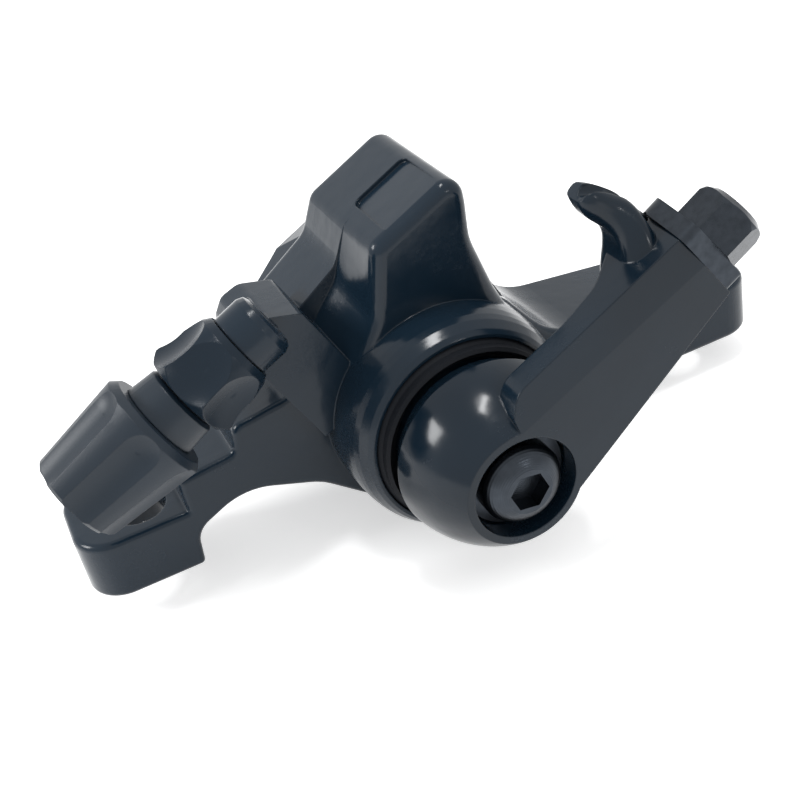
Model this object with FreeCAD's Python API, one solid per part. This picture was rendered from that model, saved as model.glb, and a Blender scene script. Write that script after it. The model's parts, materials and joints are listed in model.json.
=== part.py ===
import FreeCAD, Part
import math
import os
from FreeCAD import Vector

# Post-mount mechanical disc brake caliper for an electric scooter.
# Row frame, millimetres: the origin lies midway between the two mounting slots, on the mount faces.
# +X runs from the adjuster's ear to the lever's, +Y points inboard to the wheel, +Z up along the bolts.
# The lever turns about an axis along Y. The cable adjuster and the pads lie in a frame tilted about it.

# Mounting ears
mount_spacing = 74.0
ear_thickness = 7.8
ear_half_width = 7.4
ear_end_reach = 8.4
ear_inner_reach = 4.8
far_ear_extra = 1.6
ear_corner_radius = 4.6
ear_rim_radius = 0.8
ear_foot_radius = 1.4
mount_slot_radius = 3.25
mount_slot_travel = 2.3

# Lever axis and tilted frame
pivot_height = 10.0
body_tilt_deg = 25.2
lever_rest_deg = 38.6
lever_travel_deg = 45.0

# Drum that holds the lever's mechanism
drum_radius = 13.85
drum_rim_radius = 12.6
drum_front_y = -17.15
drum_shoulder_y = -10.5
main_bore_radius = 9.5
thrust_wall_outer_y = -14.6
thrust_wall_inner_y = -12.0
shaft_radius = 6.0
seal_seat_radius = 11.7
seal_width = 2.15

# Rotor space and pads, which follow the rotor's plane
rotor_plane_y = 11.5
rotor_thickness = 1.8
pad_gap = 0.35
friction_thickness = 2.6
backing_thickness = 1.8
pad_length = 21.0
pad_top = 8.0
pad_bottom = -8.6
pad_corner = 3.0
friction_inset = 0.8
wear_groove_width = 1.2
wear_groove_depth = 1.2
rotor_slot_width = 4.4
rotor_radius = 80.0
rotor_edge_above_axis = 8.0
rotor_edge_clearance = 1.2
pad_side_clearance = 0.3
inboard_wall = 5.0
cavity_floor_gap = 0.35

# Pad pin and spring, outside the rotor's edge
pad_pin_radius = 1.25
pad_pin_height = 10.6
pad_pin_along = 5.5
pad_tab_half = 3.6
pad_tab_top = 12.7
pad_pin_head_radius = 2.3
pad_pin_head_height = 1.5
pad_spring_thickness = 0.3

# Hump over the outboard half
hump_front_y = -11.3
hump_back_y = 9.2
hump_valley_y = -2.8
hump_top = 22.9
hump_left = 5.4
hump_right = 18.3
shoulder_top = 18.6
shoulder_left = -6.8
hump_edge_radius = 1.6
hump_recess_back_y = -0.8
hump_recess_slope_deg = 3.0

# Cable adjuster
adjuster_y = -13.0
adjuster_height = 26.5
boss_radius = 3.75
boss_start = -11.7
boss_end = -7.7
boss_skin = 0.8
barrel_radius = 3.0
barrel_head_radius = 4.0
barrel_bore_radius = 1.3
housing_bore_radius = 2.6
housing_bore_depth = 8.6
nut_length = 7.5
nut_wide_radius = 5.6
nut_narrow_radius = 4.6
nut_hollow_count = 6
nut_hollow_radius = 9.0
sleeve_radius = 4.5
sleeve_length = 3.6
sleeve_gap = 0.3
knob_length = 11.9
knob_wide_radius = 6.5
knob_narrow_radius = 5.4
knob_flutes = 6
knob_flute_radius = 4.6
knob_flute_depth = 0.7
knob_flute_turn_deg = 10.0
adjuster_spare = 1.0

# Lever arm
arm_front_y = -30.0
arm_back_gap = 1.75
hub_front_radius = 6.95
hub_band_flare = 1.05
hub_dome_fall = 1.35
hub_middle_y = -25.95
hub_widest_y = -21.3
hub_seat_inset = 1.7
counterbore_radius = 6.05
counterbore_depth = 3.6
arm_length = 29.0
arm_lower_edge = -6.3
arm_upper_root = 8.2
arm_upper_end = 3.4
arm_root_along = 7.7
arm_bevel_root = 4.3
arm_bevel_end = -0.9
arm_bevel_slope_deg = 11.0
arm_mid_thickness = 3.8
arm_end_thickness = 9.5
arm_end_turn_deg = 5.0
arm_end_splay_deg = 4.0
hex_size = 8.0
running_clearance = 0.05
spring_pocket_inner = 6.3
spring_pocket_outer = seal_seat_radius - seal_width - 0.15
spring_pocket_depth = 5.4

# Hook that guides the cable over the end of the arm
hook_tip = 11.9
hook_thickness = 3.7
hook_back_y = -20.4
cable_groove_radius = 0.9
cable_groove_y = -22.7

# Fasteners
lever_bolt_head_radius = 4.7
lever_bolt_proud = 0.8
lever_bolt_radius = 2.95
lever_bolt_socket = 4.0
lever_bolt_crown = 1.9
lever_washer_thickness = 0.8
anchor_bolt_radius = 2.45
anchor_bolt_inset = 3.1
anchor_bolt_height = 4.9
anchor_bolt_grip = 5.5
anchor_head_flats = 7.2
anchor_head_height = 4.7
pinch_plate_thickness = 2.1

# Ball ramp
ball_count = 3
ball_radius = 2.38
ball_circle_radius = 5.9
ball_sunk = 1.93
cam_radius = 9.2
cam_thickness = 4.4
cam_gap = 0.9
ramp_lead = 10.0
thrust_washer_thickness = 0.8
follower_thickness = 4.4
follower_foot_radius = 6.5
follower_key_width = 5.0
follower_key_reach = 1.6

# Return spring round the shaft
spring_wire_radius = 0.55
spring_mean_radius = (spring_pocket_inner + spring_pocket_outer) / 2
spring_turns = 3.25
spring_rise = 1.25

# Inboard pad adjuster
inboard_screw_radius = 6.0
inboard_hex = 5.0
inboard_hex_depth = 3.0

pivot = Vector(0, 0, pivot_height)


def box(x0, x1, y0, y1, z0, z1):
    return Part.makeBox(x1 - x0, y1 - y0, z1 - z0, Vector(x0, y0, z0))


def rod(radius, y0, y1, x=0.0, z=0.0):
    """Round bar along Y from y0 to y1."""
    return Part.makeCylinder(radius, y1 - y0, Vector(x, y0, z), Vector(0, 1, 0))


def bar(radius, x0, x1, y=0.0, z=0.0):
    """Round bar along X from x0 to x1."""
    return Part.makeCylinder(radius, x1 - x0, Vector(x0, y, z), Vector(1, 0, 0))


def joined(shapes):
    result = shapes[0]
    for shape in shapes[1:]:
        result = result.fuse(shape)
    return result.removeSplitter()


def turned(profile):
    """Solid of revolution about Y from (radius, y) points."""
    points = [Vector(r, y, 0) for r, y in profile]
    wire = Part.makePolygon(points + [points[0]])
    return Part.Face(wire).revolve(Vector(0, 0, 0), Vector(0, 1, 0), 360)


def turned_x(profile):
    """Solid of revolution about X from (radius, x) points."""
    points = [Vector(x, 0, r) for r, x in profile]
    wire = Part.makePolygon(points + [points[0]])
    return Part.Face(wire).revolve(Vector(0, 0, 0), Vector(1, 0, 0), 360)


def in_xz(a, b):
    return Vector(a, 0, b)


def in_xy(a, b):
    return Vector(a, b, 0)


def in_yz(a, b):
    return Vector(0, a, b)


def rounded_wire(corners, plane=in_xz):
    """Closed wire in a plane; each corner is (first, second, radius)."""
    count = len(corners)
    starts, ends, middles = [], [], []
    for i, (a, b, radius) in enumerate(corners):
        here = plane(a, b)
        before = plane(corners[i - 1][0], corners[i - 1][1])
        after = plane(corners[(i + 1) % count][0], corners[(i + 1) % count][1])
        back = (before - here).normalize()
        forward = (after - here).normalize()
        half = back.getAngle(forward) / 2
        reach = radius / math.tan(half)
        bisector = (back + forward).normalize()
        centre = here + bisector * (radius / math.sin(half))
        starts.append(here + back * reach)
        ends.append(here + forward * reach)
        middles.append(centre - bisector * radius)
    edges = []
    for i in range(count):
        if corners[i][2] > 0:
            edges.append(Part.Arc(starts[i], middles[i], ends[i]).toShape())
        edges.append(Part.makeLine(ends[i], starts[(i + 1) % count]))
    return Part.Wire(edges)


def slab(corners, y0, y1):
    """Rounded XZ outline, extruded from y0 to y1."""
    face = Part.Face(rounded_wire(corners))
    face.translate(Vector(0, y0, 0))
    return face.extrude(Vector(0, y1 - y0, 0))


def plank(corners, z0, z1):
    """Rounded XY outline, extruded from z0 to z1."""
    face = Part.Face(rounded_wire(corners, in_xy))
    face.translate(Vector(0, 0, z0))
    return face.extrude(Vector(0, 0, z1 - z0))


def plate_x(corners, x0, x1):
    """Rounded YZ outline, extruded from x0 to x1."""
    face = Part.Face(rounded_wire(corners, in_yz))
    face.translate(Vector(x0, 0, 0))
    return face.extrude(Vector(x1 - x0, 0, 0))


def edges_at_y(shape, y):
    """Edges that lie wholly in the plane at this y."""
    found = []
    for edge in shape.Edges:
        low, high = edge.BoundBox.YMin, edge.BoundBox.YMax
        if abs(low - y) < 1e-4 and abs(high - y) < 1e-4:
            found.append(edge)
    return found


def upright_edges(shape):
    """Edges of a block that run along Z."""
    found = []
    for edge in shape.Edges:
        direction = edge.tangentAt(edge.FirstParameter)
        if abs(direction.z) > 0.999:
            found.append(edge)
    return found


def tilted(shape):
    """From the tilted frame (along, Y, outwards) at the lever axis to the row frame."""
    shape = shape.copy()
    shape.rotate(Vector(0, 0, 0), Vector(0, -1, 0), body_tilt_deg)
    shape.translate(pivot)
    return shape


def on_lever(shape):
    """From the lever's own frame, with X along the arm, to the row frame."""
    shape = shape.copy()
    shape.rotate(Vector(0, 0, 0), Vector(0, -1, 0), lever_rest_deg)
    shape.translate(pivot)
    return shape


def hexagon_x(flats, x0, x1):
    radius = flats / math.sqrt(3)
    points = []
    for i in range(7):
        a = math.radians(60 * i)
        points.append(Vector(x0, radius * math.cos(a), radius * math.sin(a)))
    return Part.Face(Part.makePolygon(points)).extrude(Vector(x1 - x0, 0, 0))


def hexagon_y(flats, y0, y1, turn=0.0):
    radius = flats / math.sqrt(3)
    points = []
    for i in range(7):
        a = math.radians(60 * i + turn)
        points.append(Vector(radius * math.cos(a), y0, radius * math.sin(a)))
    return Part.Face(Part.makePolygon(points)).extrude(Vector(0, y1 - y0, 0))


# Places along Y that follow from the rotor's plane
friction_outboard_y = rotor_plane_y - rotor_thickness / 2 - pad_gap
friction_inboard_y = rotor_plane_y + rotor_thickness / 2 + pad_gap
outboard_backing_y = friction_outboard_y - friction_thickness - backing_thickness
inboard_backing_y = friction_inboard_y + friction_thickness + backing_thickness
cavity_outboard_y = outboard_backing_y - cavity_floor_gap
cavity_inboard_y = inboard_backing_y + cavity_floor_gap
body_inboard_y = cavity_inboard_y + inboard_wall

# Places along Y that follow from the drum and the lever
hub_back_y = drum_front_y - arm_back_gap
hub_back_radius = seal_seat_radius - hub_seat_inset
hub_radius = hub_back_radius + hub_band_flare
hub_middle_radius = hub_radius - hub_dome_fall
hook_outer_side = arm_length + 1.2
hub_floor_y = arm_front_y + counterbore_depth
cam_outer_y = thrust_wall_inner_y + thrust_washer_thickness + running_clearance
cam_inner_y = cam_outer_y + cam_thickness
ball_y = cam_inner_y + ball_radius - ball_sunk
follower_outer_y = cam_inner_y + cam_gap
follower_inner_y = follower_outer_y + follower_thickness

# Places along the adjuster's axis
nut_inner_end = boss_start - 0.1
nut_outer_end = nut_inner_end - nut_length
sleeve_inner_end = nut_outer_end - sleeve_gap
sleeve_outer_end = sleeve_inner_end - sleeve_length
knob_outer_end = sleeve_outer_end - knob_length


def ear(side):
    """One mounting ear with rounded upright corners; side is -1 or +1."""
    extra = far_ear_extra if side > 0 else 0
    outer = side * (mount_spacing / 2 + ear_end_reach + extra)
    inner = side * (mount_spacing / 2 - ear_inner_reach)
    low, high = min(outer, inner), max(outer, inner)
    block = box(low, high, -ear_half_width, ear_half_width, 0, ear_thickness)
    corners = []
    for edge in block.Edges:
        centre = edge.CenterOfMass
        if abs(centre.z - ear_thickness / 2) < 1e-6 and abs(centre.x - outer) < 1e-6:
            corners.append(edge)
    block = block.makeFillet(ear_corner_radius, corners)
    rims = [
        edge for edge in block.Edges
        if edge.BoundBox.ZLength < 1e-6 and abs(edge.CenterOfMass.x - inner) > 1e-6
    ]
    block = block.makeFillet(ear_rim_radius, rims)
    inner_foot = [
        edge for edge in block.Edges
        if abs(edge.CenterOfMass.z) < 1e-6 and abs(edge.CenterOfMass.x - inner) < 1e-6
    ]
    if side < 0:
        block = block.makeFillet(ear_foot_radius, inner_foot)
    return block


def mount_slot(side):
    """Slot across one ear, which lets the caliper shift sideways on its post."""
    x = side * mount_spacing / 2
    depth = ear_thickness * 3
    shapes = [box(x - mount_slot_radius, x + mount_slot_radius,
                  -mount_slot_travel, mount_slot_travel, -depth, depth)]
    for y in (-mount_slot_travel, mount_slot_travel):
        shapes.append(Part.makeCylinder(mount_slot_radius, 2 * depth, Vector(x, y, -depth)))
    return joined(shapes)


def spine():
    """Outline seen along the lever axis: both beams and the wall behind the drum."""
    left = -(mount_spacing / 2 - ear_inner_reach)
    right = mount_spacing / 2 + ear_end_reach + far_ear_extra
    corners = [
        (left - 2.0, 0.0, 0.5),
        (left, 0.0, 0.5),
        (left + 0.4, 4.6, 3.0),
        (left + 7.0, 7.6, 8.0),
        (left + 16.0, 4.2, 8.0),
        (-9.0, -2.0, 4.0),
        (9.0, -2.0, 4.0),
        (15.0, 2.6, 5.0),
        (-left, 2.6, 1.0),
        (-left, 0.0, 0.5),
        (right - ear_corner_radius, 0.0, 0.0),
        (right - ear_corner_radius, ear_thickness, 0.0),
        (17.0, 11.0, 9.0),
        (10.2, 20.0, 6.0),
        (-11.0, 20.5, 4.0),
        (-18.0, 17.0, 2.0),
        (-24.4, 16.2, 1.5),
        (-25.2, 12.9, 1.0),
        (left, 12.2, 0.6),
        (left, ear_thickness, 0.3),
        (left - 2.0, ear_thickness, 0.3),
    ]
    block = slab(corners, -ear_half_width, ear_half_width)
    return block.makeFillet(0.8, edges_at_y(block, -ear_half_width))


def drum():
    """Round housing of the ball ramp, with a rounded shoulder up to the rim."""
    steps = 6
    profile = [
        (0, ear_half_width),
        (0, drum_front_y),
        (drum_rim_radius - 0.5, drum_front_y),
        (drum_rim_radius, drum_front_y + 0.5),
    ]
    height = drum_shoulder_y - drum_front_y - 0.9
    for i in range(1, steps + 1):
        a = math.pi / 2 * i / steps
        radius = drum_rim_radius + (drum_radius - drum_rim_radius) * math.sin(a)
        y = drum_front_y + 0.9 + height * (1 - math.cos(a))
        profile.append((radius, y))
    profile.append((drum_radius, ear_half_width))
    solid = turned(profile)
    solid.translate(pivot)
    return solid


def flared(front_corners, front_y, back_corners, back_y):
    """Solid between two rounded outlines that face each other along Y."""
    front = rounded_wire(front_corners)
    front.translate(Vector(0, front_y, 0))
    back = rounded_wire(back_corners)
    back.translate(Vector(0, back_y, 0))
    return Part.makeLoft([front, back], True, True)


def hump():
    """Tall block over the drum: a sloped flank in front and a stepped shoulder behind."""
    right = [
        (hump_right, hump_top, 2.2),
        (16.6, 18.9, 6.0),
        (14.5, 15.0, 8.0),
        (13.3, 8.0, 4.0),
        (12.7, 0.0, 0.0),
    ]
    front_left = [
        (-4.0, 0.0, 0.0),
        (-4.6, 12.4, 0.0),
        (0.4, 16.0, 4.0),
        (hump_left, hump_top, 2.2),
    ]
    valley_left = [
        (-4.0, 0.0, 0.0),
        (-6.6, 15.4, 0.0),
        (0.4, 18.4, 4.0),
        (hump_left, hump_top, 2.2),
    ]
    back_left = [
        (-6.0, 0.0, 0.0),
        (shoulder_left, 8.0, 2.0),
        (shoulder_left, shoulder_top, 0.8),
        (1.6, shoulder_top + 1.2, 4.0),
        (hump_left, hump_top, 2.2),
    ]
    front = flared(right + front_left, hump_front_y, right + valley_left, hump_valley_y)
    front = front.makeFillet(hump_edge_radius, edges_at_y(front, hump_front_y))
    back = slab(right + back_left, hump_valley_y, hump_back_y)
    back = back.makeFillet(hump_edge_radius, edges_at_y(back, hump_back_y))
    recess = box(hump_left + 2.4, hump_right - 2.7, hump_front_y + 0.8, hump_recess_back_y, hump_top, hump_top + 5)
    recess = recess.makeFillet(1.0, upright_edges(recess))
    recess.rotate(Vector(0, hump_front_y + 0.8, hump_top), Vector(1, 0, 0), -hump_recess_slope_deg)
    return tilted(joined([front, back]).cut(recess))


def cheek():
    """Inboard half that holds the pads and reaches over the rotor."""
    corners = [
        (-13.4, -10.0, 3.0),
        (14.0, -10.0, 3.0),
        (14.0, 14.6, 4.0),
        (2.6, 14.6, 3.0),
        (-3.6, 12.4, 4.0),
        (-13.4, 9.2, 3.0),
    ]
    block = slab(corners, -ear_half_width + 2, body_inboard_y)
    over_slope = plate_x([
        (body_inboard_y - 6.0, 14.7, 0.0),
        (body_inboard_y + 1.0, 12.7, 0.0),
        (body_inboard_y + 1.0, 20.0, 0.0),
        (body_inboard_y - 6.0, 20.0, 0.0),
    ], -40, 40)
    return tilted(block.cut(over_slope))


def cable_boss():
    """Cable stop with the web that carries it."""
    boss = turned_x([
        (0, boss_start),
        (boss_radius, boss_start),
        (boss_radius, boss_end - 1.0),
        (boss_radius - 0.3, boss_end - 0.3),
        (boss_radius - 1.0, boss_end),
        (0, boss_end),
    ])
    boss.translate(Vector(0, adjuster_y, adjuster_height))
    web_corners = [
        (-12.6, 8.0, 0.0),
        (-4.6, 8.0, 0.0),
        (-4.8, adjuster_height - 4.3, 1.0),
        (-8.0, adjuster_height - 1.7, 2.0),
        (-10.4, adjuster_height - 1.5, 1.5),
        (-12.6, adjuster_height - 2.9, 1.5),
    ]
    web = slab(web_corners, adjuster_y + 3.4, 0.5)
    arm_corners = [
        (boss_start, adjuster_height - boss_radius, 0.6),
        (boss_end, adjuster_height - boss_radius, 0.6),
        (boss_end, adjuster_height + 1.0, 0.6),
        (boss_start, adjuster_height + 1.0, 0.6),
    ]
    bridge = slab(arm_corners, adjuster_y, adjuster_y + 5.0)
    return tilted(joined([boss, web, bridge]))


def body_openings():
    """Everything that is cut out of the casting."""
    cuts = []
    bore = rod(main_bore_radius, thrust_wall_inner_y, cavity_outboard_y + 1)
    shaft = rod(shaft_radius + running_clearance, drum_front_y - 5, thrust_wall_inner_y + 1)
    seat = rod(seal_seat_radius, drum_front_y - 5, thrust_wall_outer_y)
    key_half = follower_key_width / 2
    key_reach = main_bore_radius + follower_key_reach
    key = box(-key_reach, key_reach, follower_outer_y, cavity_outboard_y + 1, -key_half, key_half)
    for shape in (bore, shaft, seat):
        shape.translate(pivot)
        cuts.append(shape)
    cuts.append(tilted(key))
    cavity = box(-pad_length / 2 - pad_side_clearance, pad_length / 2 + pad_side_clearance,
                 cavity_outboard_y, cavity_inboard_y, -40, pad_top + 0.5)
    cuts.append(tilted(cavity))
    tab_reach = pad_tab_half + pad_side_clearance
    tabs = box(pad_pin_along - tab_reach, pad_pin_along + tab_reach,
               cavity_outboard_y, cavity_inboard_y, 0, pad_tab_top + 0.4)
    cuts.append(tilted(tabs))
    window = box(pad_pin_along - tab_reach, pad_pin_along + tab_reach,
                 hump_back_y + 0.2, cavity_inboard_y, 0, pad_tab_top + 9)
    cuts.append(tilted(window))
    rotor = rod(rotor_radius + rotor_edge_clearance, rotor_plane_y - rotor_slot_width / 2,
                rotor_plane_y + rotor_slot_width / 2, 0, rotor_edge_above_axis - rotor_radius)
    cuts.append(tilted(rotor))
    screw = rod(inboard_screw_radius, cavity_inboard_y - 1, body_inboard_y + 5)
    screw.translate(pivot)
    cuts.append(screw)
    cable = bar(barrel_radius + running_clearance, boss_start - 5, boss_end - boss_skin,
                adjuster_y, adjuster_height)
    outlet = bar(barrel_bore_radius, boss_start, boss_end + 5, adjuster_y, adjuster_height)
    cuts.append(tilted(cable))
    cuts.append(tilted(outlet))
    cuts.append(mount_slot(-1))
    cuts.append(mount_slot(1))
    pin = rod(pad_pin_radius + running_clearance, cavity_outboard_y - 3.2, body_inboard_y + 5,
              pad_pin_along, pad_pin_height)
    cuts.append(tilted(pin))
    leg = rod(spring_wire_radius + running_clearance, thrust_wall_outer_y - 1,
              thrust_wall_outer_y + 1.5, spring_mean_radius)
    leg.translate(pivot)
    cuts.append(leg)
    return cuts


def caliper_body():
    solid = joined([ear(-1), ear(1), spine(), drum(), hump(), cheek(), cable_boss()])
    for cut in body_openings():
        solid = solid.cut(cut)
    return solid.removeSplitter()


def dust_seal():
    """Rubber ring with a lip, seated in the drum's mouth."""
    outer = seal_seat_radius - 0.05
    inner = outer - seal_width
    front = hub_back_y + 0.2
    back = thrust_wall_outer_y
    profile = [
        (inner, back),
        (outer, back),
        (outer, drum_front_y + 0.3),
        (outer - 0.5, drum_front_y - 0.3),
        (outer - 0.5, front + 0.3),
        (outer - 0.9, front),
        (outer - 1.4, front + 0.9),
        (inner, front + 1.5),
    ]
    ring = turned(profile)
    ring.translate(pivot)
    return ring


def thrust_washer():
    ring = turned([
        (shaft_radius + 0.1, thrust_wall_inner_y),
        (cam_radius, thrust_wall_inner_y),
        (cam_radius, thrust_wall_inner_y + thrust_washer_thickness),
        (shaft_radius + 0.1, thrust_wall_inner_y + thrust_washer_thickness),
    ])
    ring.translate(pivot)
    return ring


def ball_angles():
    return [360.0 / ball_count * i for i in range(ball_count)]


def ball_at(angle, radius):
    a = math.radians(angle)
    centre = Vector(ball_circle_radius * math.cos(a), ball_y, ball_circle_radius * math.sin(a))
    return Part.makeSphere(radius, centre)


def spindle_cam():
    """Shaft with a hexagon for the arm and a plate with ball pockets."""
    hexagon = hexagon_y(hex_size, hub_floor_y + 0.3, hub_back_y)
    shaft = rod(shaft_radius, hub_back_y, cam_outer_y)
    plate = rod(cam_radius, cam_outer_y, cam_inner_y)
    solid = joined([hexagon, shaft, plate])
    solid = solid.cut(rod(lever_bolt_radius + running_clearance, arm_front_y, cam_outer_y - 1.0))
    for angle in ball_angles():
        solid = solid.cut(ball_at(angle, ball_radius + running_clearance))
    return on_lever(solid)


def ramp_balls():
    return on_lever(Part.makeCompound([ball_at(angle, ball_radius) for angle in ball_angles()]))


def ramp_groove(angle):
    """Channel that a ball rolls along: it gets shallower as the lever turns."""
    span = lever_travel_deg + 4.0
    height = ramp_lead * span / 360
    helix = Part.makeHelix(ramp_lead, height, ball_circle_radius)
    slope = math.atan2(ramp_lead, 2 * math.pi * ball_circle_radius)
    direction = Vector(0, math.cos(slope), math.sin(slope))
    start = Vector(ball_circle_radius, 0, 0)
    radius = ball_radius + running_clearance
    ring = Part.Wire(Part.makeCircle(radius, start, direction))
    channel = Part.Wire(helix.Edges).makePipeShell([ring], True, True)
    end_angle = math.radians(span)
    end = Vector(ball_circle_radius * math.cos(end_angle), ball_circle_radius * math.sin(end_angle), height)
    groove = channel.fuse(Part.makeSphere(radius, start)).fuse(Part.makeSphere(radius, end))
    groove.rotate(Vector(0, 0, 0), Vector(1, 0, 0), 90)
    groove.rotate(Vector(0, 0, 0), Vector(0, -1, 0), angle)
    groove.translate(Vector(0, ball_y, 0))
    return groove


def pressure_foot():
    """Follower that the balls push: keyed so that it slides without turning."""
    plate = rod(main_bore_radius - running_clearance, follower_outer_y, follower_inner_y)
    foot = rod(follower_foot_radius, follower_inner_y, outboard_backing_y - running_clearance)
    for angle in ball_angles():
        plate = plate.cut(ramp_groove(angle))
    plate = on_lever(plate)
    foot.translate(pivot)
    key_half = follower_key_width / 2 - running_clearance
    key_reach = main_bore_radius + follower_key_reach - running_clearance
    inner_reach = main_bore_radius - 1.2
    keys = []
    for side in (-1, 1):
        low = min(side * inner_reach, side * key_reach)
        high = max(side * inner_reach, side * key_reach)
        keys.append(box(low, high, follower_outer_y + 0.8, follower_inner_y, -key_half, key_half))
    return joined([plate, foot, tilted(joined(keys))])


def pad_outline(margin):
    half = pad_length / 2 - margin
    return [
        (-half, pad_bottom + margin, pad_corner),
        (half, pad_bottom + margin, pad_corner),
        (half, pad_top - margin, pad_corner),
        (-half, pad_top - margin, pad_corner),
    ]


def backing_plate(y0):
    """Pad backing plate with a tab and a hole for the pad pin."""
    plate = slab(pad_outline(0), y0, y0 + backing_thickness)
    tab = slab([
        (pad_pin_along - pad_tab_half, 0.0, 0.0),
        (pad_pin_along + pad_tab_half, 0.0, 0.0),
        (pad_pin_along + pad_tab_half, pad_tab_top, 1.5),
        (pad_pin_along - pad_tab_half, pad_tab_top, 1.5),
    ], y0, y0 + backing_thickness)
    hole = rod(pad_pin_radius + 0.3, y0 - 1, y0 + backing_thickness + 1, pad_pin_along, pad_pin_height)
    return tilted(joined([plate, tab]).cut(hole))


def friction_block(y0, face_y):
    """Friction block with one groove across the face that meets the rotor."""
    block = slab(pad_outline(friction_inset), y0, y0 + friction_thickness)
    half = wear_groove_width / 2
    groove = box(-half, half, face_y - wear_groove_depth, face_y + wear_groove_depth, -20, 20)
    return tilted(block.cut(groove))


def outboard_backing_plate():
    return backing_plate(outboard_backing_y)


def inboard_backing_plate():
    return backing_plate(inboard_backing_y - backing_thickness)


def outboard_friction_block():
    return friction_block(friction_outboard_y - friction_thickness, friction_outboard_y)


def inboard_friction_block():
    return friction_block(friction_inboard_y, friction_inboard_y)


def pad_pin():
    """Pin that both pads hang on, with a socket head on the inboard side."""
    shank = rod(pad_pin_radius, cavity_outboard_y - 3.0, body_inboard_y, pad_pin_along, pad_pin_height)
    head = rod(pad_pin_head_radius, body_inboard_y, body_inboard_y + pad_pin_head_height,
               pad_pin_along, pad_pin_height)
    socket = hexagon_y(2.0, body_inboard_y + pad_pin_head_height - 1.0, body_inboard_y + 3)
    socket.translate(Vector(pad_pin_along, 0, pad_pin_height))
    return tilted(joined([shank, head]).cut(socket))


def pad_spring():
    """Leaf spring that the pad pin runs through, between the backing plates."""
    bottom = pad_pin_height + pad_pin_radius
    top = bottom + pad_spring_thickness
    front = friction_outboard_y - 0.75
    back = friction_inboard_y + 0.25
    leg_bottom = pad_top + 1.0
    half = pad_tab_half - 0.6
    outline = [
        (front, leg_bottom, 0.0),
        (front + pad_spring_thickness, leg_bottom, 0.0),
        (front + pad_spring_thickness, bottom, 0.3),
        (back - pad_spring_thickness, bottom, 0.3),
        (back - pad_spring_thickness, leg_bottom, 0.0),
        (back, leg_bottom, 0.0),
        (back, top, 0.6),
        (front, top, 0.6),
    ]
    leaf = plate_x(outline, pad_pin_along - half, pad_pin_along + half)
    hole = rod(pad_pin_radius, front - 1, back + 1, pad_pin_along, pad_pin_height)
    return tilted(leaf.cut(hole))


def inboard_screw():
    """Threaded disc that sets the inboard pad, with a hexagon socket."""
    radius = inboard_screw_radius - running_clearance
    disc = rod(radius, inboard_backing_y + running_clearance, body_inboard_y - 0.4)
    socket = hexagon_y(inboard_hex, body_inboard_y - 0.4 - inboard_hex_depth, body_inboard_y + 1, 30)
    screw = disc.cut(socket)
    screw.translate(pivot)
    return screw


def on_arm_end(shape):
    """From the end face's frame (X out, Y back from the front, Z up) to the lever's."""
    shape = shape.copy()
    shape.rotate(Vector(0, 0, 0), Vector(0, 0, 1), -arm_end_splay_deg)
    shape.rotate(Vector(0, 0, 0), Vector(0, -1, 0), -arm_end_turn_deg)
    shape.translate(Vector(arm_length, arm_front_y, arm_lower_edge))
    return shape


def arm_blank():
    """The arm's outline along its length, cut to its side profile."""
    mid = arm_front_y + arm_mid_thickness
    end = arm_front_y + arm_end_thickness
    outline = slab([
        (0.0, arm_lower_edge, 0.0),
        (arm_length + 4, arm_lower_edge, 0.0),
        (arm_length + 4, arm_upper_end - 1.0, 0.0),
        (arm_length, arm_upper_end, 0.0),
        (arm_root_along, arm_upper_root, 3.0),
        (arm_root_along - 2.3, arm_upper_root - 1.5, 1.0),
        (arm_root_along - 3.3, arm_bevel_root + 0.4, 0.0),
        (0.0, arm_bevel_root - 1.5, 0.0),
    ], arm_front_y, end)
    side = plank([
        (-1.0, arm_front_y, 0.0),
        (arm_length + 6, arm_front_y, 0.0),
        (arm_length + 6, end, 0.0),
        (arm_length - 1.6, end, 2.0),
        (arm_length - 7.8, mid + 0.9, 5.0),
        (arm_length - 13, mid, 6.0),
        (-1.0, mid, 0.0),
    ], -20, 20)
    blank = outline.common(side)
    rise = math.tan(math.radians(arm_bevel_slope_deg)) * 12
    lean = (arm_bevel_end - arm_bevel_root) / (arm_length - arm_root_along)
    foot = arm_bevel_root - lean * arm_root_along
    bevel = Part.makePolygon([
        Vector(0, arm_front_y - 1, foot),
        Vector(0, arm_front_y, foot),
        Vector(0, arm_front_y + rise, foot + 12),
        Vector(0, arm_front_y - 1, foot + 12),
        Vector(0, arm_front_y - 1, foot),
    ])
    wedge = Part.Face(bevel).extrude(Vector(arm_length + 20, 0, 0))
    wedge.rotate(Vector(0, 0, foot), Vector(0, -1, 0), math.degrees(math.atan(lean)))
    beyond = box(0, 20, -5, 30, -5, 30)
    return blank.cut(wedge).cut(on_arm_end(beyond))


def crowned(front, middle, widest, rear):
    """Round shape on the y axis with a flat front, a crowned flank and a skirt: (radius, y) points."""
    front, middle, widest, rear = (Vector(radius, y, 0) for radius, y in (front, middle, widest, rear))
    edges = [
        Part.makeLine(Vector(0, rear.y, 0), Vector(0, front.y, 0)),
        Part.makeLine(Vector(0, front.y, 0), front),
        Part.Arc(front, middle, widest).toShape(),
        Part.makeLine(widest, rear),
        Part.makeLine(rear, Vector(0, rear.y, 0)),
    ]
    return Part.Face(Part.Wire(edges)).revolve(Vector(0, 0, 0), Vector(0, 1, 0), 360)


def hub():
    """Domed hub round the lever bolt, with a band behind the dome that narrows to the seal."""
    return crowned(
        (hub_front_radius, arm_front_y),
        (hub_middle_radius, hub_middle_y),
        (hub_radius, hub_widest_y),
        (hub_back_radius, hub_back_y),
    )


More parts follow.
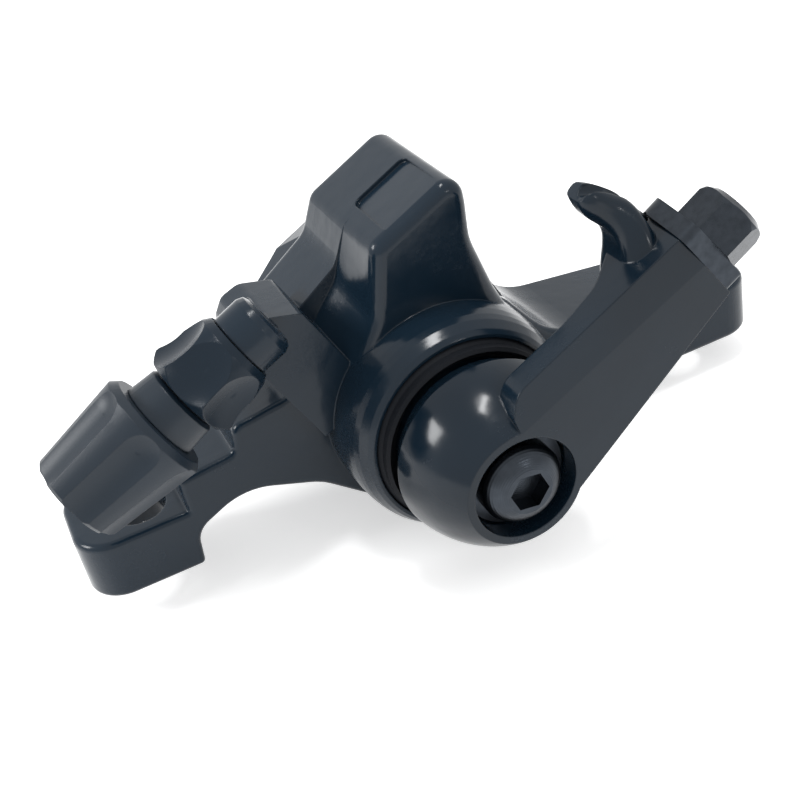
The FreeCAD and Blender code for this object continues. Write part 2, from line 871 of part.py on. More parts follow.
def hook_section(height, inner, outer, front):
    """Rounded outline across the horn at one height."""
    inner += hook_outer_side
    outer += hook_outer_side
    round_off = 0.42 * min(outer - inner, hook_back_y - front)
    corners = [
        (inner, front, round_off),
        (outer, front, round_off),
        (outer, hook_back_y, round_off),
        (inner, hook_back_y, round_off),
    ]
    wire = rounded_wire(corners, in_xy)
    wire.translate(Vector(0, 0, height))
    return wire


def cable_hook():
    """Horn that flows out of the arm's top edge and carries the cable over its end."""
    low = arm_upper_end
    neck = -hook_thickness
    sections = [
        hook_section(low - 3.4, neck - 4.6, -1.5, arm_front_y + 2.0),
        hook_section(low, neck - 3.2, -1.0, arm_front_y + 2.4),
        hook_section(low + 1.9, neck - 0.7, -0.4, arm_front_y + 3.6),
        hook_section(low + 3.6, neck, 0.0, arm_front_y + 4.8),
        hook_section(hook_tip - 3.0, neck - 0.2, -0.3, arm_front_y + 5.6),
        hook_section(hook_tip - 1.0, neck, -1.0, arm_front_y + 6.0),
        hook_section(hook_tip - 0.2, neck + 0.4, -1.5, arm_front_y + 6.5),
    ]
    return Part.makeLoft(sections, True, False)


def cable_groove():
    """Path of the cable over the horn and down the end face."""
    side = hook_outer_side
    points = [
        Vector(side - 6.0, cable_groove_y, hook_tip + 1.4),
        Vector(side - 2.2, cable_groove_y, hook_tip + 0.5),
        Vector(side - 0.1, cable_groove_y, hook_tip - 2.4),
        Vector(side + 0.4, cable_groove_y, hook_tip - 6.0),
        Vector(arm_length + 0.1, cable_groove_y, arm_upper_end - 0.8),
        Vector(arm_length - 0.3, cable_groove_y, arm_lower_edge - 3.0),
    ]
    runs = []
    for a, b in zip(points, points[1:]):
        runs.append(Part.makeCylinder(cable_groove_radius, (b - a).Length, a, b - a))
        runs.append(Part.makeSphere(cable_groove_radius, b))
    return joined(runs[:-1])


def lever_arm():
    solid = joined([hub(), arm_blank(), cable_hook()])
    solid = solid.cut(rod(counterbore_radius, arm_front_y - 5, hub_floor_y))
    solid = solid.cut(hexagon_y(hex_size + 2 * running_clearance, hub_floor_y - 1, hub_back_y + 5))
    pocket = rod(spring_pocket_outer, hub_back_y - spring_pocket_depth, hub_back_y + 5)
    pocket = pocket.cut(rod(spring_pocket_inner, hub_back_y - spring_pocket_depth - 1, hub_back_y + 6))
    solid = solid.cut(pocket)
    bolt_hole = bar(anchor_bolt_radius + running_clearance, -anchor_bolt_grip - 0.5, 5,
                    anchor_bolt_inset, anchor_bolt_height)
    solid = solid.cut(on_arm_end(bolt_hole))
    solid = solid.cut(cable_groove())
    return on_lever(solid)


def lever_bolt():
    """Button head screw that clamps the arm on the shaft."""
    top = arm_front_y - lever_bolt_proud
    seat = hub_floor_y - lever_washer_thickness
    end = cam_outer_y - 2.0
    rim = lever_bolt_head_radius
    head = crowned(
        (rim - 2.0, top),
        (rim - 0.8, top + lever_bolt_crown * 0.37),
        (rim, top + lever_bolt_crown),
        (rim, seat),
    )
    shank = turned([
        (0, seat),
        (lever_bolt_radius, seat),
        (lever_bolt_radius, end - 0.6),
        (lever_bolt_radius - 0.6, end),
        (0, end),
    ])
    socket = hexagon_y(lever_bolt_socket, top - 1, top + 1.9, 12)
    return on_lever(joined([head, shank]).cut(socket))


def lever_washer():
    ring = turned([
        (lever_bolt_radius + 0.15, hub_floor_y - lever_washer_thickness),
        (counterbore_radius - 0.2, hub_floor_y - lever_washer_thickness),
        (counterbore_radius - 0.2, hub_floor_y),
        (lever_bolt_radius + 0.15, hub_floor_y),
    ])
    return on_lever(ring)


def spring_coil():
    """Wire coiled up the z axis in half turns, each an arc in a plane that rises by half the pitch."""
    rise = spring_rise / 2
    start = Vector(spring_mean_radius, 0, 0)
    pieces = []
    for half in range(math.ceil(2 * spring_turns)):
        end = Vector(-start.x, 0, start.z + rise)
        axis = (start - end).cross(Vector(0, 1, 0))
        sweep = 180 * min(1, 2 * spring_turns - half)
        wire = Part.Wire(Part.makeCircle(spring_wire_radius, start, Vector(0, 1, 0)))
        turn = 1 if half % 2 == 0 else -1
        pieces.append(Part.Face(wire).revolve((start + end) / 2, axis * turn, sweep))
        start = end
    return joined(pieces)


def return_spring():
    """Torsion spring in the hub's pocket; one leg stands in the drum's wall."""
    start_y = hub_back_y - 0.2
    coil = spring_coil()
    coil.rotate(Vector(0, 0, 0), Vector(1, 0, 0), 90)
    coil.translate(Vector(0, start_y, 0))
    knee = Part.makeSphere(spring_wire_radius, Vector(spring_mean_radius, start_y, 0))
    leg = rod(spring_wire_radius, start_y, thrust_wall_outer_y + 1.3, spring_mean_radius)
    solid = joined([coil, knee, leg])
    solid.translate(pivot)
    return solid


def pinch_plate():
    """Plate that clamps the cable against the end of the arm."""
    back = arm_end_thickness - 0.7
    top = arm_upper_end - arm_lower_edge
    outline = [
        (0.1, 0.1, 0.8),
        (back, 0.6, 1.5),
        (back, top + 0.6, 2.4),
        (0.1, top, 1.2),
    ]
    plate = plate_x(outline, 0, pinch_plate_thickness)
    plate = plate.cut(bar(anchor_bolt_radius + 0.15, -1, 5, anchor_bolt_inset, anchor_bolt_height))
    return on_lever(on_arm_end(plate).cut(cable_groove()))


def anchor_bolt():
    """Bolt with a deep rounded hexagon head that holds the pinch plate."""
    seat = pinch_plate_thickness
    top = seat + anchor_head_height
    head = hexagon_x(anchor_head_flats, seat, top)
    corner = anchor_head_flats / math.sqrt(3)
    crown = turned_x([
        (0, seat), (corner + 0.1, seat), (corner + 0.1, top - 1.5),
        (corner - 0.35, top - 0.6), (corner - 1.3, top), (0, top),
    ])
    head = head.common(crown)
    shank = bar(anchor_bolt_radius, -anchor_bolt_grip, seat)
    bolt = joined([head, shank])
    bolt.translate(Vector(0, anchor_bolt_inset, anchor_bolt_height))
    return on_lever(on_arm_end(bolt))


def on_adjuster(shape):
    """From a frame with X along the adjuster to the row frame."""
    shape = shape.copy()
    shape.translate(Vector(0, adjuster_y, adjuster_height))
    return tilted(shape)


def adjuster_barrel():
    """Hollow screw: a wide head that seats the cable housing, and the thread."""
    head_end = knob_outer_end + 0.4
    head = bar(barrel_head_radius, head_end, sleeve_outer_end)
    thread = bar(barrel_radius, sleeve_outer_end, boss_end - boss_skin - adjuster_spare)
    solid = joined([head, thread])
    solid = solid.cut(bar(housing_bore_radius, head_end - 1, head_end + housing_bore_depth))
    solid = solid.cut(bar(barrel_bore_radius, head_end, boss_end + 5))
    return on_adjuster(solid)


def adjuster_knob():
    """Tapered grip with flutes along it."""
    grip = turned_x([
        (barrel_head_radius + running_clearance, knob_outer_end),
        (knob_narrow_radius - 0.4, knob_outer_end),
        (knob_narrow_radius, knob_outer_end + 0.4),
        (knob_wide_radius, sleeve_outer_end - 0.8),
        (knob_wide_radius - 0.7, sleeve_outer_end),
        (barrel_head_radius + running_clearance, sleeve_outer_end),
    ])
    flute_radius = knob_flute_radius
    lean = math.degrees(math.atan2(knob_wide_radius - knob_narrow_radius, knob_length))
    for i in range(knob_flutes):
        flute = bar(flute_radius, knob_outer_end - 3, sleeve_outer_end - 3.4)
        tip = Part.makeSphere(flute_radius, Vector(sleeve_outer_end - 3.4, 0, 0))
        flute = joined([flute, tip])
        flute.rotate(Vector(knob_outer_end, 0, 0), Vector(0, -1, 0), lean)
        flute.translate(Vector(0, 0, knob_narrow_radius + flute_radius - knob_flute_depth))
        turn = 360.0 / knob_flutes * i + knob_flute_turn_deg
        flute.rotate(Vector(0, 0, 0), Vector(1, 0, 0), turn)
        grip = grip.cut(flute)
    return on_adjuster(grip)


def adjuster_sleeve():
    """Smooth sleeve between the knob and the lock nut."""
    start = sleeve_outer_end + running_clearance
    solid = turned_x([
        (barrel_radius + running_clearance, start),
        (sleeve_radius, start),
        (sleeve_radius - 0.3, sleeve_inner_end - 0.4),
        (sleeve_radius - 0.7, sleeve_inner_end),
        (barrel_radius + running_clearance, sleeve_inner_end),
    ])
    return on_adjuster(solid)


def lock_nut():
    """Tapered lock nut with hollow flats."""
    solid = turned_x([
        (barrel_radius + running_clearance, nut_outer_end),
        (nut_wide_radius - 0.8, nut_outer_end),
        (nut_wide_radius, nut_outer_end + 0.9),
        (nut_wide_radius, nut_outer_end + 2.2),
        (nut_narrow_radius, nut_inner_end - 0.8),
        (nut_narrow_radius - 0.5, nut_inner_end),
        (barrel_radius + running_clearance, nut_inner_end),
    ])
    centre = Vector((nut_outer_end + nut_inner_end) / 2, 0, nut_hollow_radius + nut_narrow_radius - 0.55)
    for i in range(nut_hollow_count):
        hollow = Part.makeSphere(nut_hollow_radius, centre)
        hollow.rotate(Vector(0, 0, 0), Vector(1, 0, 0), 360.0 / nut_hollow_count * (i + 0.85))
        solid = solid.cut(hollow)
    return on_adjuster(solid)


def main():
    os.makedirs("parts", exist_ok=True)
    makers = [
        caliper_body, dust_seal, thrust_washer, return_spring, pad_pin, pad_spring, lock_nut,
        lever_arm, lever_bolt, lever_washer, spindle_cam, ramp_balls, pinch_plate, anchor_bolt,
        pressure_foot, outboard_backing_plate, outboard_friction_block,
        inboard_backing_plate, inboard_friction_block, inboard_screw,
        adjuster_sleeve, adjuster_barrel, adjuster_knob,
    ]
    for maker in makers:
        shape = maker()
        name = maker.__name__
        print(name, shape.isValid(), len(shape.Solids), round(shape.Volume, 2))
        shape.exportStep("parts/" + name + ".step")


main()
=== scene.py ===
"""Finishes a cable-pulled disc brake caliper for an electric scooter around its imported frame."""

import json
import math

import bpy
from bpy.props import FloatProperty, FloatVectorProperty, PointerProperty
from mathutils import Matrix, Vector

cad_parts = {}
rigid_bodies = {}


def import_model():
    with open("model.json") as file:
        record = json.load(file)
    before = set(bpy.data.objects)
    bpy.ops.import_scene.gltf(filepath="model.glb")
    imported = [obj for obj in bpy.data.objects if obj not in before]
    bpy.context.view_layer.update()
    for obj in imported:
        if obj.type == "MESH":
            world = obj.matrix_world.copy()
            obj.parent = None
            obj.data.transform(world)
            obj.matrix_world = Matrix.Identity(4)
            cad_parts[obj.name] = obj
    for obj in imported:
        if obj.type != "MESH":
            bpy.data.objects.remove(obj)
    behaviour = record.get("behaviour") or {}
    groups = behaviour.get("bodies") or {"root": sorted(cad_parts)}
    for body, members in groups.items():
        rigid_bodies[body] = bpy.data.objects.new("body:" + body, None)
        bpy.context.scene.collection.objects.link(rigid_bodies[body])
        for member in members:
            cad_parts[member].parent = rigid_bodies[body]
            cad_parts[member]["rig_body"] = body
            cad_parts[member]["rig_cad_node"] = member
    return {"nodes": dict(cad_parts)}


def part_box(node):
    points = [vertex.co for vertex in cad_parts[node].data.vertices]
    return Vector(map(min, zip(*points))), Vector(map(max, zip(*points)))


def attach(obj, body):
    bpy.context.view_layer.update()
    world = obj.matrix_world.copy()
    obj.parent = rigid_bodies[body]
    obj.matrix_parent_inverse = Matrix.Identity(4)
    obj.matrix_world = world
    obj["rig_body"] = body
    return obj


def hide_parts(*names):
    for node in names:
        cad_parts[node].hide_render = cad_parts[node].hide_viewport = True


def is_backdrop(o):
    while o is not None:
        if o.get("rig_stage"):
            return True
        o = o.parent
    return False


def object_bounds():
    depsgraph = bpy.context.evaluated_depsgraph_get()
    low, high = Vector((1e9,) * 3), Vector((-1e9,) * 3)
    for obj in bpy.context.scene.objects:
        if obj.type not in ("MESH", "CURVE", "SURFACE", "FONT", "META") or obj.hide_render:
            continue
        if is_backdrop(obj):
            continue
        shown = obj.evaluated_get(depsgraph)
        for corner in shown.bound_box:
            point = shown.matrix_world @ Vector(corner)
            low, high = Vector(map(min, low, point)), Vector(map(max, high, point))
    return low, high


bl_info = {
    "name": "Scooter brake caliper finish",
    "version": (1, 0, 0),
    "blender": (4, 5, 0),
    "location": "3D View > Sidebar > Caliper",
    "description": "Paint, metal, rubber and studio for a cable-pulled disc brake caliper",
    "category": "Object",
}

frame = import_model()
cad_low, cad_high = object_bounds()

FLOOR_WIDTH = 6
FLOOR_GAP = 0.0002
FLOOR_GLOW = (0.5, 0.5, 0.5)
CAMERA_RIGHT = Vector((0.8946908, -0.40644105, -0.18529451))
CAMERA_UP = Vector((0.37089246, 0.44477506, 0.81523857))
CAMERA_BACK = Vector((-0.24893204, -0.79811078, 0.54868207))
LAMPS = (  # name, place from the part's middle, width, depth, watts
    ("Overhead lamp", (0.02, -0.02, 0.45), 0.14, 0.05, 0.7),
    ("Left lamp", (-0.38, 0.10, 0.26), 0.14, 0.14, 1.1),
    ("Front lamp", (0.16, -0.40, 0.20), 0.06, 0.03, 0.12),
)
ALONG_Y = (0, 1, 0)


def colour(name, description, value):
    """A colour that a user may change."""
    return FloatVectorProperty(
        name=name, description=description, default=value, subtype="COLOR", size=3, min=0, max=1
    )


def length(name, description, value):
    """A length in metres that a user may change."""
    return FloatProperty(
        name=name, description=description, default=value, subtype="DISTANCE", unit="LENGTH"
    )


def share(name, description, value):
    """A share between none and all that a user may change."""
    return FloatProperty(
        name=name, description=description, default=value, subtype="FACTOR", min=0, max=1
    )


class CaliperPaint(bpy.types.PropertyGroup):
    casting: colour("Casting", "Black paint on the body", (0.0060, 0.0145, 0.0250))
    casting_thin: colour("Thin paint", "Paint where it lies thin on the body", (0.0085, 0.0180, 0.0300))
    arm: colour("Arm", "Black paint on the lever arm", (0.0040, 0.0100, 0.0175))
    roughness: share("Paint roughness", "How dull the paint is", 0.16)
    peel: length("Orange peel", "Height of the ripple in the paint", 0.00003)
    edge: length("Edge radius", "Radius that the paint gives a sharp edge", 0.00025)


class CaliperMetal(bpy.types.PropertyGroup):
    anodised: colour("Anodised", "Black anodised aluminium", (0.007, 0.014, 0.023))
    bright: colour("Aluminium", "Plain turned aluminium", (0.52, 0.53, 0.55))
    steel: colour("Steel", "Bare steel", (0.42, 0.42, 0.43))
    dark_steel: colour("Dark steel", "Black oxide steel", (0.045, 0.052, 0.062))
    bronze: colour("Bronze", "Bearing bronze", (0.50, 0.33, 0.16))
    blasted: length("Blasting", "Height of the blasted grain", 0.00001)
    rings: length("Turned rings", "Spacing of the turned rings", 0.00022)


class CaliperSoft(bpy.types.PropertyGroup):
    rubber: colour("Rubber", "Moulded seal", (0.0035, 0.0045, 0.0065))
    friction: colour("Friction", "Pressed brake compound", (0.045, 0.040, 0.036))
    fleck: colour("Fleck", "Metal flecks in the compound", (0.35, 0.28, 0.20))


class CaliperStudio(bpy.types.PropertyGroup):
    floor: colour("Floor", "Pale studio floor", (0.93, 0.93, 0.93))
    level: FloatProperty(name="Light", description="Strength of the light all round", default=0.8)
    lens: FloatProperty(
        name="Lens", description="Focal length of the camera in millimetres", default=55.01
    )
    eye: FloatVectorProperty(
        name="Eye", description="Place of the camera", default=(-0.0406466, -0.1234308, 0.0908841),
        subtype="TRANSLATION", unit="LENGTH",
    )


class Field:
    """A number that varies over a surface: arithmetic on it adds Math nodes."""

    def __init__(self, graph, socket):
        self.graph = graph
        self.socket = socket

    def maths(self, operation, first, second):
        return self.graph.node("ShaderNodeMath", {"operation": operation}, {0: first, 1: second})

    def __add__(self, other):
        return self.maths("ADD", self, other)

    def __radd__(self, other):
        return self.maths("ADD", other, self)

    def __sub__(self, other):
        return self.maths("SUBTRACT", self, other)

    def __rsub__(self, other):
        return self.maths("SUBTRACT", other, self)

    def __mul__(self, other):
        return self.maths("MULTIPLY", self, other)

    def __rmul__(self, other):
        return self.maths("MULTIPLY", other, self)

    def __truediv__(self, other):
        return self.maths("DIVIDE", self, other)

    def __pow__(self, other):
        return self.maths("POWER", self, other)


class Graph:
    """A new material and the nodes that are added to it."""

    def __init__(self, name):
        self.material = bpy.data.materials.new(name)
        self.material.use_nodes = True
        self.tree = self.material.node_tree
        self.shader = self.tree.nodes["Principled BSDF"]
        self.place = self.node("ShaderNodeTexCoord", {}, {}, "Object")

    def node(self, kind, settings, inputs, output=0):
        """Adds a node, sets it up, gives its sockets values or links, and returns one output."""
        made = self.tree.nodes.new(kind)
        for key, value in settings.items():
            setattr(made, key, value)
        for key, value in inputs.items():
            self.feed(made.inputs[key], value)
        return Field(self, made.outputs[output])

    def feed(self, socket, value):
        """Links a field to a socket, or sets a plain value on it."""
        if isinstance(value, Field):
            self.tree.links.new(value.socket, socket)
        elif isinstance(value, (tuple, Vector)) and socket.type == "RGBA":
            socket.default_value = (*value, 1)
        else:
            socket.default_value = value

    def noise(self, size, detail=2.0):
        """Noise whose lumps are about this many metres across."""
        sockets = {"Vector": self.place, "Scale": 1 / size, "Detail": detail}
        return self.node("ShaderNodeTexNoise", {}, sockets)

    def ramp(self, field, low, high):
        """0 below low and 1 above high, straight between them."""
        return self.node("ShaderNodeMapRange", {}, {"Value": field, "From Min": low, "From Max": high})

    def blend(self, factor, first, second):
        """Mixes two colours."""
        return self.node("ShaderNodeMix", {"data_type": "RGBA"}, {0: factor, 6: first, 7: second}, 2)

    def rounded(self, radius):
        """The surface direction with every sharp edge softened to this radius."""
        return self.node("ShaderNodeBevel", {"samples": 6}, {"Radius": radius})

    def bump(self, height, depth, under=None):
        """The surface direction over a relief this deep, on top of another direction if one is given."""
        inputs = {"Height": height, "Distance": depth, "Strength": 1.0}
        if under is not None:
            inputs["Normal"] = under
        return self.node("ShaderNodeBump", {}, inputs)

    def around(self, axis_point, axis):
        """Distance of the surface from an axis, in metres."""
        moved = self.node(
            "ShaderNodeVectorMath", {"operation": "SUBTRACT"}, {0: self.place, 1: axis_point}
        )
        across = self.node(
            "ShaderNodeVectorMath", {"operation": "CROSS_PRODUCT"}, {0: moved, 1: axis}
        )
        return self.node("ShaderNodeVectorMath", {"operation": "LENGTH"}, {0: across}, "Value")

    def finish(self, **sockets):
        """Feeds the shader's sockets and returns the material."""
        for key, value in sockets.items():
            self.feed(self.shader.inputs[key.replace("_", " ")], value)
        return self.material


def showing(tree):
    """1 on the rays that see the background, straight, mirrored or through glass, and 0 on the rest."""
    path = tree.nodes.new("ShaderNodeLightPath")
    either = path.outputs["Is Camera Ray"]
    for ray in ("Is Glossy Ray", "Is Transmission Ray"):
        larger = tree.nodes.new("ShaderNodeMath")
        larger.operation = "MAXIMUM"
        tree.links.new(either, larger.inputs[0])
        tree.links.new(path.outputs[ray], larger.inputs[1])
        either = larger.outputs[0]
    return either


def finished(node, name, material):
    """Copies a node with the surface directions of its exact shape, and gives it a finish."""
    source = frame["nodes"][node]
    skin = source.copy()
    skin.data = source.data.copy()
    skin.parent = None
    skin.name = name
    skin.data.name = name
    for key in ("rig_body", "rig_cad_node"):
        del skin[key]
    bpy.context.scene.collection.objects.link(skin)
    skin.data.materials.clear()
    skin.data.materials.append(material)
    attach(skin, source["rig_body"])
    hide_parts(node)
    return skin


def middle_of(node):
    """The middle of a node's box: a point on its axis when it is round."""
    low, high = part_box(node)
    return (low + high) / 2


def dimmed(base, factor):
    """A colour with each part multiplied."""
    return tuple(factor * part for part in base)


def painted(name, base, thin, settings):
    """Glossy paint over a casting: a soft ripple, and a cast grain that shows in patches."""
    graph = Graph(name)
    broad = graph.noise(0.018, 2)
    ripple = graph.noise(0.0022, 1)
    grain = graph.noise(0.0006, 3)
    patches = graph.ramp(graph.noise(0.009, 2), 0.5, 0.62)
    relief = ripple + grain * patches * 0.5
    normal = graph.bump(relief, settings.peel, graph.rounded(settings.edge))
    return graph.finish(
        Base_Color=graph.blend(graph.ramp(broad, 0.35, 0.7), base, thin),
        Roughness=settings.roughness + patches * grain * 0.2,
        Normal=normal,
        IOR=1.35,
    )


def blasted(name, base, settings, roughness=0.36, gloss=1.42):
    """Anodised aluminium with a fine blasted grain."""
    graph = Graph(name)
    grain = graph.noise(0.00022, 2)
    broad = graph.noise(0.008, 2)
    normal = graph.bump(grain, settings.blasted, graph.rounded(0.0002))
    return graph.finish(
        Base_Color=graph.blend(graph.ramp(broad, 0.3, 0.75), base, dimmed(base, 1.25)),
        Roughness=roughness + grain * 0.10,
        Metallic=0.04,
        IOR=gloss,
        Normal=normal,
    )


def turned(name, base, node, axis, settings, roughness=0.24):
    """Metal with the fine rings that a lathe leaves round an axis."""
    graph = Graph(name)
    phase = graph.around(middle_of(node), axis) * (2 * math.pi / settings.rings)
    rings = graph.node("ShaderNodeMath", {"operation": "SINE"}, {0: phase})
    scuffs = graph.noise(0.0012, 3)
    normal = graph.bump(rings, settings.rings * 0.02)
    return graph.finish(
        Base_Color=graph.blend(graph.ramp(scuffs, 0.3, 0.8), base, dimmed(base, 0.8)),
        Roughness=roughness + scuffs * 0.14,
        Metallic=1.0,
        Normal=normal,
    )


def drawn(name, base, roughness=0.28):
    """Bare steel with small scuffs."""
    graph = Graph(name)
    scuffs = graph.noise(0.0009, 4)
    normal = graph.bump(scuffs, 0.000008)
    return graph.finish(
        Base_Color=graph.blend(graph.ramp(scuffs, 0.35, 0.7), base, dimmed(base, 0.75)),
        Roughness=roughness + scuffs * 0.12,
        Metallic=1.0,
        Normal=normal,
    )


def moulded(name, base):
    """Matt rubber."""
    graph = Graph(name)
    grain = graph.noise(0.0003, 3)
    return graph.finish(
        Base_Color=graph.blend(grain, base, dimmed(base, 1.8)),
        Roughness=0.5 + grain * 0.25,
        IOR=1.25,
        Normal=graph.bump(grain, 0.00002),
    )


def pressed(name, base, fleck):
    """Brake compound with metal flecks."""
    graph = Graph(name)
    cells = {"Vector": graph.place, "Scale": 1 / 0.0006}
    grains = graph.node("ShaderNodeTexVoronoi", {}, cells, "Color")
    chosen = graph.ramp(graph.node("ShaderNodeSeparateColor", {}, {0: grains}), 0.86, 0.9)
    rough = graph.noise(0.0005, 4)
    return graph.finish(
        Base_Color=graph.blend(chosen, base, fleck),
        Roughness=0.85 - chosen * 0.35,
        Metallic=chosen * 0.8,
        Normal=graph.bump(rough, 0.00008),
    )


class OBJECT_OT_caliper_casting(bpy.types.Operator):
    """Finish the painted body casting"""

    bl_idname = "object.caliper_casting"
    bl_label = "Body casting"

    def execute(self, context):
        paint = context.scene.caliper_paint
        finished(
            "caliper_body", "painted_body_finish",
            painted("Black casting paint", tuple(paint.casting), tuple(paint.casting_thin), paint),
        )
        return {"FINISHED"}


class OBJECT_OT_caliper_lever(bpy.types.Operator):
    """Finish the lever arm and what clamps the cable to it"""

    bl_idname = "object.caliper_lever"
    bl_label = "Lever arm"

    def execute(self, context):
        paint = context.scene.caliper_paint
        metal = context.scene.caliper_metal
        finished(
            "lever_arm", "painted_lever_arm_finish",
            painted("Black arm paint", tuple(paint.arm), tuple(paint.casting), paint),
        )
        dark = tuple(metal.dark_steel)
        finished("pinch_plate", "cable_pinch_plate_finish", drawn("Plated plate", dark))
        finished(
            "anchor_bolt", "cable_anchor_bolt_finish", drawn("Plated bolt", dark, 0.2)
        )
        return {"FINISHED"}


class OBJECT_OT_caliper_pivot(bpy.types.Operator):
    """Finish the bolt, washers, seal and return spring on the pivot"""

    bl_idname = "object.caliper_pivot"
    bl_label = "Pivot"

    def execute(self, context):
        metal = context.scene.caliper_metal
        soft = context.scene.caliper_soft
        dark = tuple(metal.dark_steel)
        finished(
            "lever_bolt", "lever_bolt_finish",
            turned("Black oxide bolt", dark, "lever_bolt", ALONG_Y, metal),
        )
        finished("lever_washer", "lever_washer_finish", drawn("Washer steel", dark))
        finished(
            "dust_seal", "dust_seal_finish", moulded("Seal rubber", tuple(soft.rubber))
        )
        finished(
            "return_spring", "return_spring_finish",
            drawn("Spring wire", tuple(metal.steel)),
        )
        finished(
            "thrust_washer", "thrust_washer_finish",
            turned("Bearing bronze", tuple(metal.bronze), "thrust_washer", ALONG_Y, metal),
        )
        return {"FINISHED"}


class OBJECT_OT_caliper_ramps(bpy.types.Operator):
    """Finish the cam, the balls and the pressure foot inside the drum"""

    bl_idname = "object.caliper_ramps"
    bl_label = "Ball ramps"

    def execute(self, context):
        metal = context.scene.caliper_metal
        steel = tuple(metal.steel)
        finished(
            "spindle_cam", "spindle_and_cam_finish",
            turned("Cam steel", steel, "spindle_cam", ALONG_Y, metal),
        )
        finished(
            "ramp_balls", "ramp_balls_finish",
            drawn("Ball steel", dimmed(steel, 1.4), 0.08),
        )
        finished(
            "pressure_foot", "pressure_foot_finish",
            turned("Foot steel", steel, "pressure_foot", ALONG_Y, metal),
        )
        return {"FINISHED"}


class OBJECT_OT_caliper_pads(bpy.types.Operator):
    """Finish the pads, their pin and their spring"""

    bl_idname = "object.caliper_pads"
    bl_label = "Pads"

    def execute(self, context):
        metal = context.scene.caliper_metal
        soft = context.scene.caliper_soft
        steel = tuple(metal.steel)
        plate = drawn("Backing steel", dimmed(steel, 0.6), 0.4)
        compound = pressed("Brake compound", tuple(soft.friction), tuple(soft.fleck))
        for side in ("outboard", "inboard"):
            finished(f"{side}_backing_plate", f"{side}_backing_finish", plate)
            finished(f"{side}_friction_block", f"{side}_friction_finish", compound)
        finished("pad_pin", "pad_pin_finish", drawn("Pin steel", steel, 0.2))
        finished(
            "pad_spring", "pad_spring_finish",
            drawn("Spring sheet", dimmed(steel, 1.2), 0.22),
        )
        finished(
            "inboard_screw", "inboard_pad_screw_finish",
            turned("Turned aluminium", tuple(metal.bright), "inboard_screw", ALONG_Y, metal),
        )
        return {"FINISHED"}


class OBJECT_OT_caliper_adjuster(bpy.types.Operator):
    """Finish the cable adjuster"""

    bl_idname = "object.caliper_adjuster"
    bl_label = "Cable adjuster"

    def execute(self, context):
        metal = context.scene.caliper_metal
        black = tuple(metal.anodised)
        finished(
            "lock_nut", "lock_nut_finish",
            blasted("Nut anodising", black, metal, 0.2, 1.3),
        )
        finished(
            "adjuster_sleeve", "adjuster_sleeve_finish",
            blasted("Sleeve anodising", black, metal, 0.3),
        )
        finished(
            "adjuster_knob", "adjuster_knob_finish",
            blasted("Knob anodising", black, metal),
        )
        finished(
            "adjuster_barrel", "adjuster_barrel_finish",
            blasted("Barrel anodising", black, metal),
        )
        return {"FINISHED"}


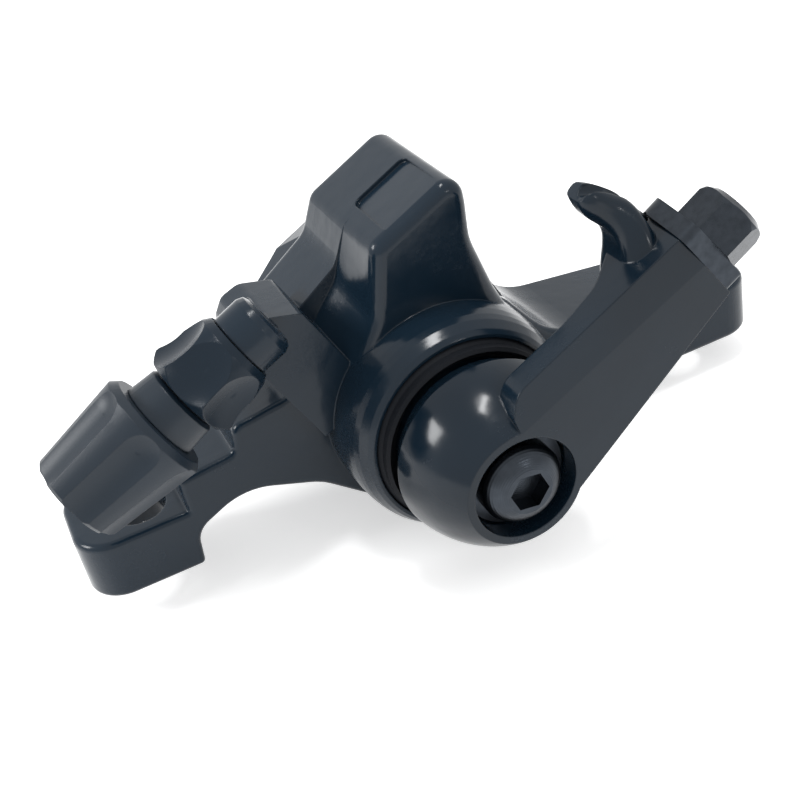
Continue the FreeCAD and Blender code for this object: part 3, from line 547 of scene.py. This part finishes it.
class OBJECT_OT_caliper_stage(bpy.types.Operator):
    """Set up the pale floor, the soft light and the camera"""

    bl_idname = "object.caliper_stage"
    bl_label = "Studio"

    def execute(self, context):
        studio = context.scene.caliper_studio
        self.floor(studio)
        self.world(context.scene, studio)
        self.lamps()
        self.camera(context.scene, studio)
        context.scene.view_settings.view_transform = "Standard"
        return {"FINISHED"}

    def floor(self, studio):
        """A wide pale floor under the lowest point."""
        low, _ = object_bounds()
        bpy.ops.object.select_all(action="DESELECT")
        bpy.ops.mesh.primitive_plane_add(size=FLOOR_WIDTH, location=(0, 0, low.z - FLOOR_GAP))
        floor = bpy.context.object
        floor.name = "Studio floor"
        bpy.ops.object.transform_apply(location=True)
        graph = Graph("Pale floor")
        seen = Field(graph, showing(graph.tree))
        graph.shader.inputs["Emission Strength"].default_value = 1.0
        floor.data.materials.append(
            graph.finish(
                Base_Color=tuple(studio.floor),
                Roughness=0.9,
                Emission_Color=graph.blend(seen, (0, 0, 0), FLOOR_GLOW),
            )
        )
        floor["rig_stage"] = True

    def world(self, scene, studio):
        """Even light all round; the camera, gloss and glass see white."""
        world = bpy.data.worlds.new("Studio light")
        world.use_nodes = True
        scene.world = world
        tree = world.node_tree
        light = tree.nodes["Background"]
        level = tree.nodes.new("ShaderNodeMix")
        level.inputs[2].default_value = studio.level
        level.inputs[3].default_value = 1.0
        tree.links.new(showing(tree), level.inputs[0])
        tree.links.new(level.outputs[0], light.inputs["Strength"])
        light.inputs["Color"].default_value = (1, 1, 1, 1)

    def lamps(self):
        """A window-shaped lamp overhead, a wide one at the left and a weak one in front."""
        centre = (cad_low + cad_high) / 2
        for name, offset, width, depth, power in LAMPS:
            data = bpy.data.lights.new(name, "AREA")
            data.shape = "RECTANGLE"
            data.size = width
            data.size_y = depth
            data.energy = power
            lamp = bpy.data.objects.new(name, data)
            lamp.location = centre + Vector(offset)
            lamp.rotation_euler = Vector(offset).to_track_quat("Z", "Y").to_euler()
            bpy.context.scene.collection.objects.link(lamp)

    def camera(self, scene, studio):
        """The photograph's point of view."""
        data = bpy.data.cameras.new("Photograph camera")
        data.lens = studio.lens
        data.sensor_width = 36
        data.clip_start = 0.01
        camera = bpy.data.objects.new("Photograph camera", data)
        turn = Matrix((CAMERA_RIGHT, CAMERA_UP, CAMERA_BACK)).transposed().to_4x4()
        camera.matrix_world = Matrix.Translation(Vector(studio.eye)) @ turn
        scene.collection.objects.link(camera)
        scene.camera = camera


PIECES = (
    OBJECT_OT_caliper_casting,
    OBJECT_OT_caliper_lever,
    OBJECT_OT_caliper_pivot,
    OBJECT_OT_caliper_ramps,
    OBJECT_OT_caliper_pads,
    OBJECT_OT_caliper_adjuster,
    OBJECT_OT_caliper_stage,
)


class VIEW3D_PT_caliper(bpy.types.Panel):
    """Lists the pieces of the caliper"""

    bl_label = "Caliper"
    bl_idname = "VIEW3D_PT_caliper"
    bl_space_type = "VIEW_3D"
    bl_region_type = "UI"
    bl_category = "Caliper"

    def draw(self, context):
        for group in SETTINGS:
            settings = getattr(context.scene, group)
            for key in settings.__annotations__:
                self.layout.prop(settings, key)
        for piece in PIECES:
            self.layout.operator(piece.bl_idname)


SETTINGS = {
    "caliper_paint": CaliperPaint,
    "caliper_metal": CaliperMetal,
    "caliper_soft": CaliperSoft,
    "caliper_studio": CaliperStudio,
}
CLASSES = (*SETTINGS.values(), *PIECES, VIEW3D_PT_caliper)


def register():
    for cls in CLASSES:
        bpy.utils.register_class(cls)
    for key, group in SETTINGS.items():
        setattr(bpy.types.Scene, key, PointerProperty(type=group))


def unregister():
    for key in SETTINGS:
        delattr(bpy.types.Scene, key)
    for cls in reversed(CLASSES):
        bpy.utils.unregister_class(cls)


def main():
    """Registers the add-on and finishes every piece."""
    register()
    for piece in PIECES:
        group, name = piece.bl_idname.split(".")
        getattr(getattr(bpy.ops, group), name)()


if __name__ == "__main__":
    main()
